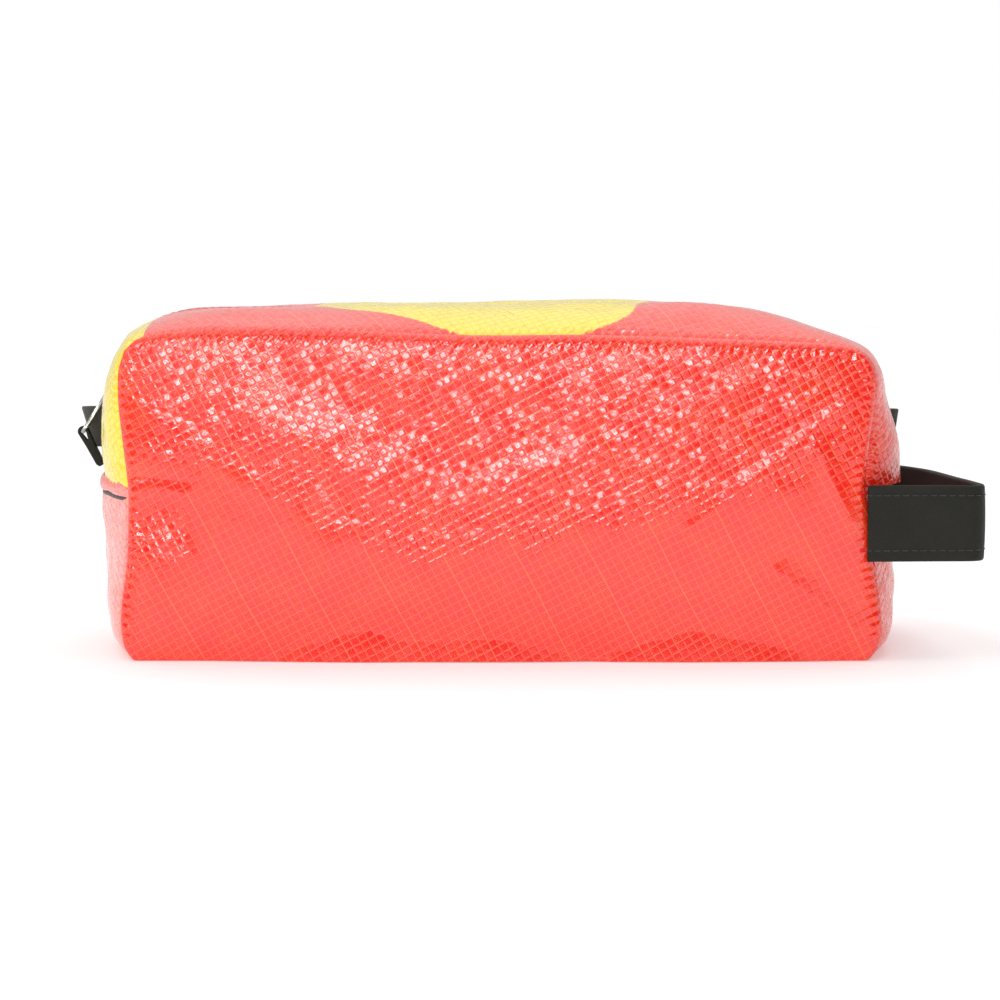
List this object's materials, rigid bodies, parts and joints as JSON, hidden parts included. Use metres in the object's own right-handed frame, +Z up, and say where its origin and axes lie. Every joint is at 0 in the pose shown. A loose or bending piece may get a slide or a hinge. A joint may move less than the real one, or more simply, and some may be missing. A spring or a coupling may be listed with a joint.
{
  "type": "zipped wash bag",
  "caption": "Boxy soft wash bag of glossy red printed film, zipped over its top, with a loop strap across one end.",
  "frame": {"origin": "middle of the base panel, on the surface that the bag stands on", "axes": "+X along the bag to the end with the strap, +Z up, -Y towards the front panel"},
  "size_m": [0.3083, 0.116, 0.1169],
  "materials": {
    "red_film": "glossy printed film laminate, red with orange and pink halftone, square reinforcing thread grid",
    "yellow_film": "the same laminate where its print is yellow",
    "black_leather": "smooth black leather, satin, stitched edges",
    "black_tape": "woven polyester zip tape, matte black",
    "black_coil": "black nylon coil",
    "binding": "woven black binding tape, matte",
    "steel": "bright plated zip hardware"
  },
  "bodies": {
    "case": {"back_panel": "red_film", "back_seam_binding": "binding", "base_panel": "red_film", "front_panel": "red_film", "front_seam_binding": "binding", "left_end_cross_seam_binding": "red_film", "left_end_gusset_back": "yellow_film", "left_end_gusset_front": "yellow_film", "left_end_loop_tab": "black_leather", "left_end_lower_panel": "red_film", "left_end_zip_coil_back": "black_coil", "left_end_zip_coil_front": "black_coil", "left_end_zip_stop": "steel", "left_end_zip_tape_back": "black_tape", "left_end_zip_tape_front": "black_tape", "right_end_cross_seam_binding": "red_film", "right_end_gusset_back": "red_film", "right_end_gusset_front": "red_film", "right_end_loop_tab": "black_leather", "right_end_lower_panel": "red_film", "right_end_zip_coil_back": "black_coil", "right_end_zip_coil_front": "black_coil", "right_end_zip_stop": "steel", "right_end_zip_tape_back": "black_tape", "right_end_zip_tape_front": "black_tape"},
    "front_flap": {"top_gusset_front": "red_film", "zip_tape_front": "black_tape", "zip_coil_front": "black_coil"},
    "back_flap": {"top_gusset_back": "red_film", "zip_tape_back": "black_tape", "zip_coil_back": "black_coil"},
    "slider": {"zip_slider": "steel"},
    "puller": {"zip_puller": "steel"},
    "pull": {"pull_tab": "black_leather"},
    "handle": {"handle_outer_ply": "black_leather", "handle_inner_ply": "black_leather"}
  },
  "joints": [
    {"name": "front_flap_hinge", "type": "hinge", "parent": "case", "child": "front_flap", "pos_m": [0, -0.055, 0.108], "axis": [1, 0, 0], "range_deg": [0, 100]},
    {"name": "back_flap_hinge", "type": "hinge", "parent": "case", "child": "back_flap", "pos_m": [0, 0.055, 0.108], "axis": [-1, 0, 0], "range_deg": [0, 100]},
    {"name": "slider_run", "type": "hinge", "parent": "case", "child": "slider", "pos_m": [-0.1085, 0, 0.094], "axis": [0, 1, 0], "range_deg": [0, 75]},
    {"name": "puller_hinge", "type": "hinge", "parent": "slider", "child": "puller", "pos_m": [-0.1325, 0, 0.094], "axis": [0, 1, 0], "range_deg": [0, 130]},
    {"name": "pull_hinge", "type": "hinge", "parent": "puller", "child": "pull", "pos_m": [-0.1453, 0, 0.0733], "axis": [0, 1, 0], "range_deg": [0, 100]},
    {"name": "handle_hinge", "type": "hinge", "parent": "case", "child": "handle", "pos_m": [0.124, 0, 0.046], "axis": [0, 1, 0], "range_deg": [-20, 20], "stiffness_Nm_per_rad": 0.08}
  ]
}
